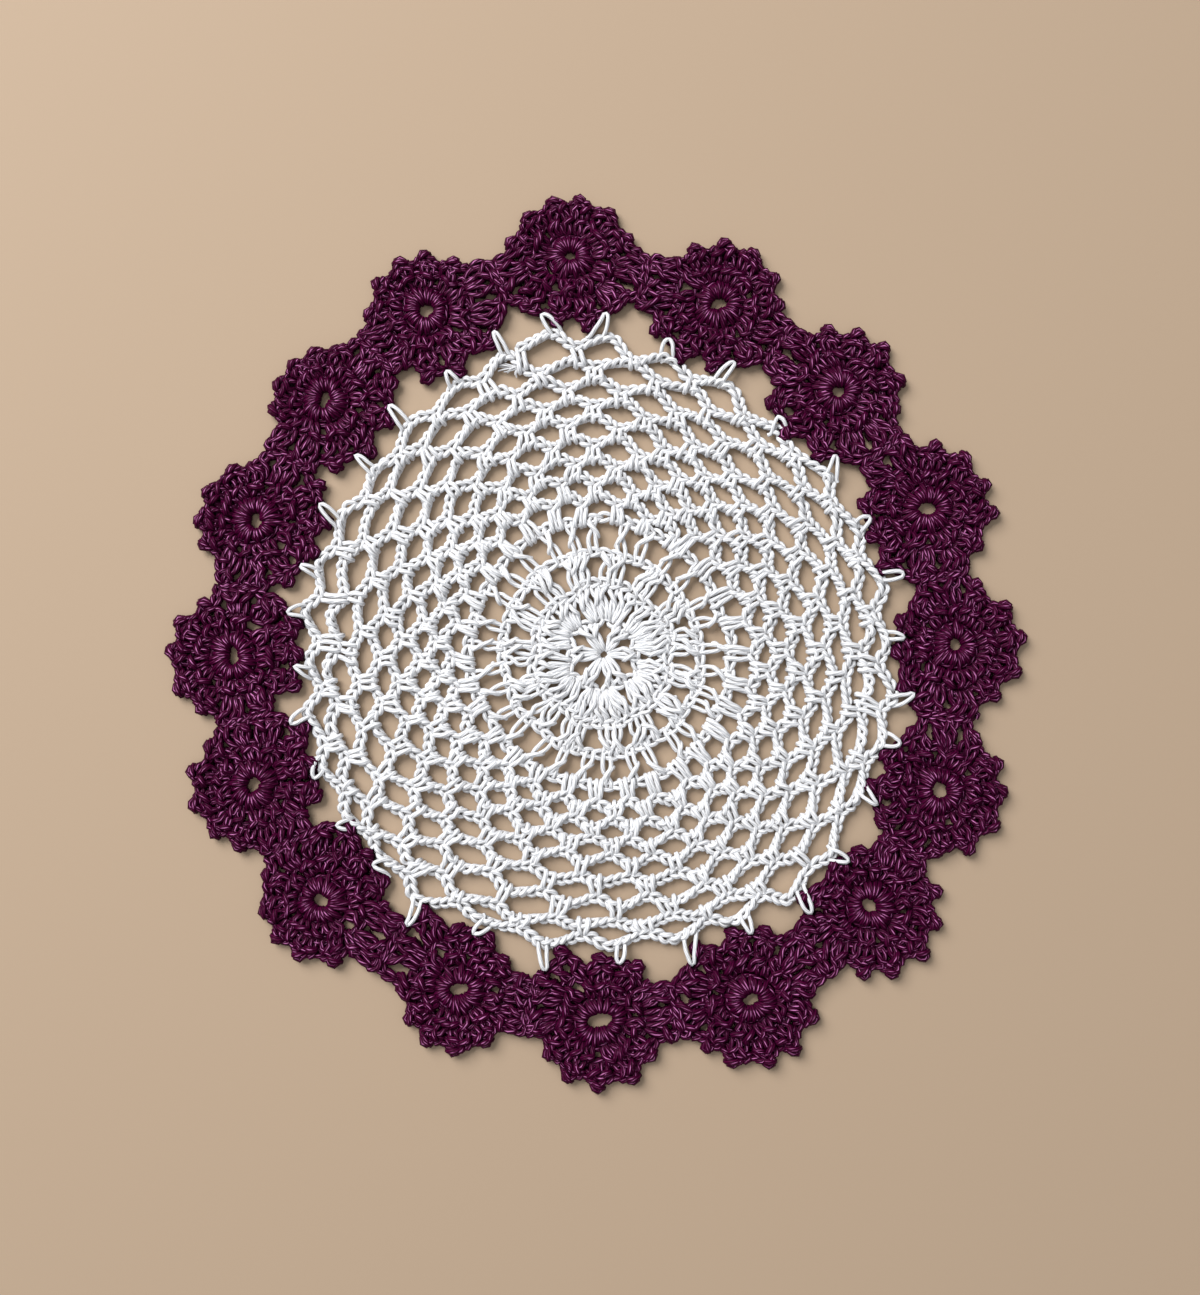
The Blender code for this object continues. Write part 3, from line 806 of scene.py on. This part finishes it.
def add(tree, kind, settings=None, links=None, values=None):
    """A node with its settings, its linked sockets and its sockets' values."""
    node = tree.nodes.new(kind)
    for name, value in (settings or {}).items():
        setattr(node, name, value)
    for name, value in (values or {}).items():
        node.inputs[name].default_value = value
    for name, source in (links or {}).items():
        tree.links.new(source, node.inputs[name])
    return node


def yarn_tree():
    """Lays yarn round strands that are given as rows of edges."""
    tree = bpy.data.node_groups.new("lay yarn along strands", "GeometryNodeTree")
    face = tree.interface
    face.new_socket("Strands", in_out="INPUT", socket_type="NodeSocketGeometry")
    face.new_socket("Yarn thickness", in_out="INPUT", socket_type="NodeSocketFloat")
    face.new_socket("Facet length", in_out="INPUT", socket_type="NodeSocketFloat")
    face.new_socket("Facets round", in_out="INPUT", socket_type="NodeSocketInt")
    face.new_socket("Unevenness", in_out="INPUT", socket_type="NodeSocketFloat")
    face.new_socket("Cotton", in_out="INPUT", socket_type="NodeSocketMaterial")
    face.new_socket("Yarn", in_out="OUTPUT", socket_type="NodeSocketGeometry")
    given = add(tree, "NodeGroupInput").outputs
    line = add(tree, "GeometryNodeMeshToCurve", links={"Mesh": given["Strands"]})
    line = add(tree, "GeometryNodeCurveSplineType", {"spline_type": "CATMULL_ROM"},
               {"Curve": line.outputs["Curve"]})
    line = add(tree, "GeometryNodeSetSplineResolution", links={"Geometry": line.outputs["Curve"]},
               values={"Resolution": 6})
    line = add(tree, "GeometryNodeResampleCurve", {"mode": "LENGTH"},
               {"Curve": line.outputs["Geometry"], "Length": given["Facet length"]})
    length = add(tree, "GeometryNodeSplineParameter")
    line = add(tree, "GeometryNodeStoreNamedAttribute", {"data_type": "FLOAT", "domain": "POINT"},
               {"Geometry": line.outputs["Curve"], "Value": length.outputs["Length"]}, {"Name": "along"})
    # thick and thin places
    lumps = add(tree, "ShaderNodeTexNoise", {"noise_dimensions": "3D"},
                values={"Scale": LUMPS, "Detail": 1.0})
    swing = add(tree, "ShaderNodeMath", {"operation": "SUBTRACT"}, {0: lumps.outputs["Fac"]}, {1: 0.5})
    swing = add(tree, "ShaderNodeMath", {"operation": "MULTIPLY_ADD"},
                {0: swing.outputs[0], 1: given["Unevenness"]}, {2: 1.0})
    line = add(tree, "GeometryNodeSetCurveRadius",
               links={"Curve": line.outputs["Geometry"], "Radius": swing.outputs[0]})
    # the section, with the direction round it kept for the plies
    half = add(tree, "ShaderNodeMath", {"operation": "MULTIPLY"}, {0: given["Yarn thickness"]}, {1: 0.5})
    hoop = add(tree, "GeometryNodeCurvePrimitiveCircle", {"mode": "RADIUS"},
               {"Resolution": given["Facets round"], "Radius": half.outputs[0]})
    spot = add(tree, "GeometryNodeInputPosition")
    outwards = add(tree, "ShaderNodeVectorMath", {"operation": "NORMALIZE"}, {0: spot.outputs["Position"]})
    hoop = add(tree, "GeometryNodeStoreNamedAttribute", {"data_type": "FLOAT_VECTOR", "domain": "POINT"},
               {"Geometry": hoop.outputs["Curve"], "Value": outwards.outputs[0]}, {"Name": "around"})
    yarn = add(tree, "GeometryNodeCurveToMesh",
               links={"Curve": line.outputs["Curve"], "Profile Curve": hoop.outputs["Geometry"]},
               values={"Fill Caps": True})
    yarn = add(tree, "GeometryNodeRealizeInstances", links={"Geometry": yarn.outputs["Mesh"]})
    yarn = add(tree, "GeometryNodeSetMaterial",
               links={"Geometry": yarn.outputs["Geometry"], "Material": given["Cotton"]})
    add(tree, "NodeGroupOutput", links={"Yarn": yarn.outputs["Geometry"]})
    return tree


def lay_yarn(name, strands, tree, cotton, yarn):
    """A piece made of yarn along the strands."""
    lengths = [len(one) for one in strands]
    spots = stray(np.vstack(strands), yarn.thick) * METRES
    first = np.concatenate([[0], np.cumsum(lengths)[:-1]])
    edges = np.concatenate([np.stack([np.arange(a, a + n - 1), np.arange(a + 1, a + n)], -1)
                            for a, n in zip(first, lengths)])
    mesh = bpy.data.meshes.new(name)
    mesh.from_pydata(spots.tolist(), edges.tolist(), [])
    piece = bpy.data.objects.new(name, mesh)
    bpy.context.scene.collection.objects.link(piece)
    layer = piece.modifiers.new("yarn", "NODES")
    layer.node_group = tree
    wanted = {"Yarn thickness": yarn.thick * METRES, "Facet length": yarn.facet * METRES,
              "Facets round": YARN_SIDES, "Unevenness": yarn.uneven, "Cotton": cotton}
    for item in tree.interface.items_tree:
        if item.in_out == "INPUT" and item.name in wanted:
            layer[item.identifier] = wanted[item.name]
    bpy.context.view_layer.update()
    made = bpy.data.meshes.new_from_object(piece.evaluated_get(bpy.context.evaluated_depsgraph_get()))
    piece.modifiers.remove(layer)
    piece.data = made
    made.name = name
    made.shade_smooth()
    return piece


# Materials. Cotton fibres are 0.02 mm thick, too fine to show, and are drawn as streaks 0.25 mm wide.
STREAKS = 260.0             # to a metre along the yarn, one in 4 mm
STREAKS_ROUND = 1.3         # to a radian of the wave of the plies, one in 0.25 mm round the yarn
SHIFT = 300.0               # to a metre sideways, so that neighbouring strands differ
FULL_FIBRE = (0.40, 0.56)   # how full a fibre is where its painted highlight begins and where it is brightest
FACING_UP = (0.86, 0.99)    # how far up the yarn faces where it takes that painted highlight, 1 being straight up
BLOTCHES = 90.0             # lighter and darker places to a metre of cloth, one in 11 mm
BLOTCH_TONE = (0.92, 1.06)


def linear(colour):
    """Linear colour from an sRGB hex value."""
    parts = np.array([int(colour[start:start + 2], 16) for start in (1, 3, 5)]) / 255
    return (*np.where(parts <= 0.04045, parts / 12.92, ((parts + 0.055) / 1.055) ** 2.4), 1.0)


def cotton_material(name, body, ply_valley_shade, between, painted_highlight, hollow_depth, shaded, roughness, shine,
                    plies, ply_spacing, ply_depth):
    """Cotton yarn of that many plies, seen that far apart along it.

    body colours a ply, and the colour after it is painted shade in the valley beside it; between is painted
    shade for what lies deep among the strands, up to hollow_depth away from the open; the last colour is a
    painted highlight on the fullest fibres of their tops.
    """
    material = bpy.data.materials.new(name)
    material.use_nodes = True
    tree = material.node_tree
    shader = tree.nodes["Principled BSDF"]

    # plies wind round the yarn
    along = add(tree, "ShaderNodeAttribute", {"attribute_name": "along"})
    around = add(tree, "ShaderNodeAttribute", {"attribute_name": "around"})
    parts = add(tree, "ShaderNodeSeparateXYZ", links={0: around.outputs["Vector"]})
    angle = add(tree, "ShaderNodeMath", {"operation": "ARCTAN2"},
                {0: parts.outputs["Y"], 1: parts.outputs["X"]})
    spin = add(tree, "ShaderNodeMath", {"operation": "MULTIPLY"}, {0: angle.outputs[0]}, {1: plies / 2})
    twist = add(tree, "ShaderNodeMath", {"operation": "MULTIPLY_ADD"},
                {0: along.outputs["Fac"], 2: spin.outputs[0]}, {1: np.pi / (ply_spacing * METRES)})
    wave = add(tree, "ShaderNodeMath", {"operation": "COSINE"}, {0: twist.outputs[0]})
    ply = add(tree, "ShaderNodeMath", {"operation": "ABSOLUTE"}, {0: wave.outputs[0]})

    # fibres run with the plies: fine across the twist, long along it
    thread = add(tree, "ShaderNodeMath", {"operation": "MULTIPLY"}, {0: twist.outputs[0]}, {1: STREAKS_ROUND})
    run = add(tree, "ShaderNodeMath", {"operation": "MULTIPLY"}, {0: along.outputs["Fac"]}, {1: STREAKS})
    where = add(tree, "ShaderNodeTexCoord")
    spread = add(tree, "ShaderNodeSeparateXYZ", links={0: where.outputs["Object"]})
    apart = add(tree, "ShaderNodeMath", {"operation": "MULTIPLY"}, {0: spread.outputs["X"]}, {1: SHIFT})
    line = add(tree, "ShaderNodeCombineXYZ",
               links={0: thread.outputs[0], 1: run.outputs[0], 2: apart.outputs[0]})
    fibre = add(tree, "ShaderNodeTexNoise", {"noise_dimensions": "3D"}, {"Vector": line.outputs[0]},
                {"Scale": 1.0, "Detail": 2.0})
    depth = add(tree, "ShaderNodeMath", {"operation": "MULTIPLY_ADD"},
                {0: fibre.outputs["Fac"], 2: ply.outputs[0]}, {1: 0.5})
    # painted shade: the valleys between the plies are coloured darker than the plies
    shade = add(tree, "ShaderNodeMix", {"data_type": "RGBA"}, {0: ply.outputs[0]},
                {6: linear(ply_valley_shade), 7: linear(body)})

    # painted highlight: a lighter colour on the fullest fibres where a strand faces up
    crest = add(tree, "ShaderNodeMath", {"operation": "MULTIPLY"},
                {0: fibre.outputs["Fac"], 1: ply.outputs[0]})
    bright = add(tree, "ShaderNodeMapRange", links={0: crest.outputs[0]},
                 values={1: FULL_FIBRE[0], 2: FULL_FIBRE[1], 3: 0.0, 4: 1.0})
    surface = add(tree, "ShaderNodeNewGeometry")
    facing = add(tree, "ShaderNodeSeparateXYZ", links={0: surface.outputs["Normal"]})
    on_top = add(tree, "ShaderNodeMapRange", links={0: facing.outputs["Z"]},
                 values={1: FACING_UP[0], 2: FACING_UP[1], 3: 0.0, 4: 1.0})
    bright = add(tree, "ShaderNodeMath", {"operation": "MULTIPLY"},
                 {0: bright.outputs[0], 1: on_top.outputs[0]})
    lit = add(tree, "ShaderNodeMix", {"data_type": "RGBA"}, {0: bright.outputs[0], 6: shade.outputs[2]},
              {7: linear(painted_highlight)})

    # painted shade: a darker colour deep between the strands, where the Ambient Occlusion node finds little
    # open space; and a slightly uneven dye
    hollow = add(tree, "ShaderNodeAmbientOcclusion", {"samples": 4},
                 values={"Distance": hollow_depth * METRES})
    open_to_light = add(tree, "ShaderNodeMapRange", links={0: hollow.outputs["AO"]},
                        values={1: shaded, 2: shaded + 0.5, 3: 0.0, 4: 1.0})
    deep = add(tree, "ShaderNodeMix", {"data_type": "RGBA"}, {0: open_to_light.outputs[0], 7: lit.outputs[2]},
               {6: linear(between)})
    blotch = add(tree, "ShaderNodeTexNoise", {"noise_dimensions": "3D"}, {"Vector": where.outputs["Object"]},
                 {"Scale": BLOTCHES, "Detail": 2.0})
    tone = add(tree, "ShaderNodeMapRange", links={0: blotch.outputs["Fac"]},
               values={1: 0.3, 2: 0.7, 3: BLOTCH_TONE[0], 4: BLOTCH_TONE[1]})
    colour = add(tree, "ShaderNodeVectorMath", {"operation": "SCALE"},
                 {0: deep.outputs[2], "Scale": tone.outputs[0]})
    bump = add(tree, "ShaderNodeBump", links={"Height": depth.outputs[0]},
               values={"Strength": 0.7, "Distance": ply_depth * METRES})
    tree.links.new(colour.outputs[0], shader.inputs["Base Color"])
    tree.links.new(bump.outputs[0], shader.inputs["Normal"])
    shader.inputs["Roughness"].default_value = roughness
    shader.inputs["Specular IOR Level"].default_value = shine
    return material


def cottons():
    """The white and the plum cotton.

    The plies of such yarn lie about 1.5 mm apart, too close to show, and are drawn twice as far apart.
    """
    # spun loosely and left untreated: matt and fuzzy, with shallow valleys between the plies; pale painted
    # shade in those valleys, grey painted shade deep between the strands, and a near-white painted highlight
    # on top
    white = cotton_material(
        "soft spun white cotton", body="#eeedee", ply_valley_shade="#c7cacf", between="#8e8986", painted_highlight="#fafafa",
        hollow_depth=1.1, shaded=0.2, roughness=0.75, shine=0.3, plies=5, ply_spacing=3.2, ply_depth=0.14)
    # mercerised, which swells and smooths the fibres: a deep colour; its silky sheen is a painted highlight
    # in fine bright streaks on the strands' tops, with dark painted shade between the plies and near-black
    # deep between strands
    plum = cotton_material(
        "mercerised plum cotton", body="#48042e", ply_valley_shade="#200214", between="#070003", painted_highlight="#cc7cb6",
        hollow_depth=2.2, shaded=0.34, roughness=0.4, shine=0.05, plies=7, ply_spacing=2.8, ply_depth=0.16)
    return white, plum


# Room. The camera's place is in millimetres, the rest in metres.
CAMERA_TARGET = (-0.9, 2.3, 0.0)
CAMERA_DISTANCE = 354.0
CAMERA_ELEVATION = 86.0
SENSOR = 36.0
LENS = SENSOR * 1200 / 1295     # the frame is 1295 high for a focal length of 1200
FLOOR_HALF = 2.0
FLOOR_DROP = 0.0002             # how far the floor lies below the cloth
Softbox = namedtuple("Softbox", "name place size power")
SOFTBOXES = (Softbox("window", (-1.0, 1.0, 1.35), 1.3, 54.0), Softbox("ceiling", (0.3, -0.4, 1.9), 2.0, 8.0))
DAYLIGHT = 0.31


def camera():
    data = bpy.data.cameras.new("camera")
    eye = bpy.data.objects.new("camera", data)
    bpy.context.scene.collection.objects.link(eye)
    data.lens, data.sensor_width = LENS, SENSOR
    data.clip_start, data.clip_end = 0.01, 20.0
    tilt = radians(CAMERA_ELEVATION)
    target = Vector(CAMERA_TARGET) * METRES
    back = Vector((0, -np.cos(tilt), np.sin(tilt)))
    eye.location = target + back * CAMERA_DISTANCE * METRES
    eye.rotation_euler = (-back).to_track_quat("-Z", "Y").to_euler()
    bpy.context.scene.camera = eye


def light(box):
    data = bpy.data.lights.new(box.name, "AREA")
    data.shape, data.size, data.energy = "SQUARE", box.size, box.power
    lamp = bpy.data.objects.new(box.name, data)
    bpy.context.scene.collection.objects.link(lamp)
    lamp.location = box.place
    lamp.rotation_euler = (-Vector(box.place)).to_track_quat("-Z", "Y").to_euler()


def room():
    mesh = bpy.data.meshes.new("floor")
    sides = ((-1, -1), (1, -1), (1, 1), (-1, 1))
    mesh.from_pydata([(x * FLOOR_HALF, y * FLOOR_HALF, -FLOOR_DROP) for x, y in sides], [], [(0, 1, 2, 3)])
    floor = bpy.data.objects.new("floor", mesh)
    bpy.context.scene.collection.objects.link(floor)
    # rolled on: one even colour without gloss
    paint = bpy.data.materials.new("pale matt paint")
    paint.use_nodes = True
    shader = paint.node_tree.nodes["Principled BSDF"]
    shader.inputs["Base Color"].default_value = linear("#ad967e")
    shader.inputs["Roughness"].default_value = 0.8
    mesh.materials.append(paint)
    for box in SOFTBOXES:
        light(box)
    world = bpy.data.worlds.new("daylight")
    bpy.context.scene.world = world
    world.use_nodes = True
    world.node_tree.nodes["Background"].inputs["Color"].default_value = linear("#eef2f8")
    world.node_tree.nodes["Background"].inputs["Strength"].default_value = DAYLIGHT
    bpy.context.scene.view_settings.view_transform = "Standard"


def main():
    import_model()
    camera()
    room()
    white, plum = cottons()
    tree = yarn_tree()
    net = spiral()
    chain = net_chain(net)
    joints = net_joints(net)
    half = chain.joint_marks[SPLIT_GAP]
    outer, inner = (plait(net.path, chain.marks[part], wide=chain.widths[part], roll=chain.rolls[part])
                    for part in (slice(half, None), slice(None, half + 1)))
    outer_chain = lay_yarn("outer_net_chain", [outer], tree, white, CHAIN_YARN)
    inner_chain = lay_yarn("inner_net_chain", [inner], tree, white, CHAIN_YARN)
    legs = lay_yarn("net_joints", joints, tree, white, JOINT_YARN)
    loops = lay_yarn("hooks", hooks(net), tree, white, HOOK_YARN)
    middle = lay_yarn("inner_rounds", first_round() + shells() + blocks() + posts(), tree, white, TALL_YARN)
    frayed = lay_yarn("loose_end", loose_end(), tree, white, FRAYED_YARN)
    for piece in (outer_chain, inner_chain, legs, loops, middle, frayed):
        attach(piece, "root")
    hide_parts("centre")
    for (first, last), size in EDGING.items():
        numbers = range(first - 1, last)
        strands = [one for number in numbers for one in motif_strands(number)]
        piece = lay_yarn("motifs_%02d_to_%02d" % (first, last), strands, tree, plum, PLUM_YARN)
        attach(piece, "root")
        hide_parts(*["motif_%02d" % (number + 1) for number in numbers])


main()
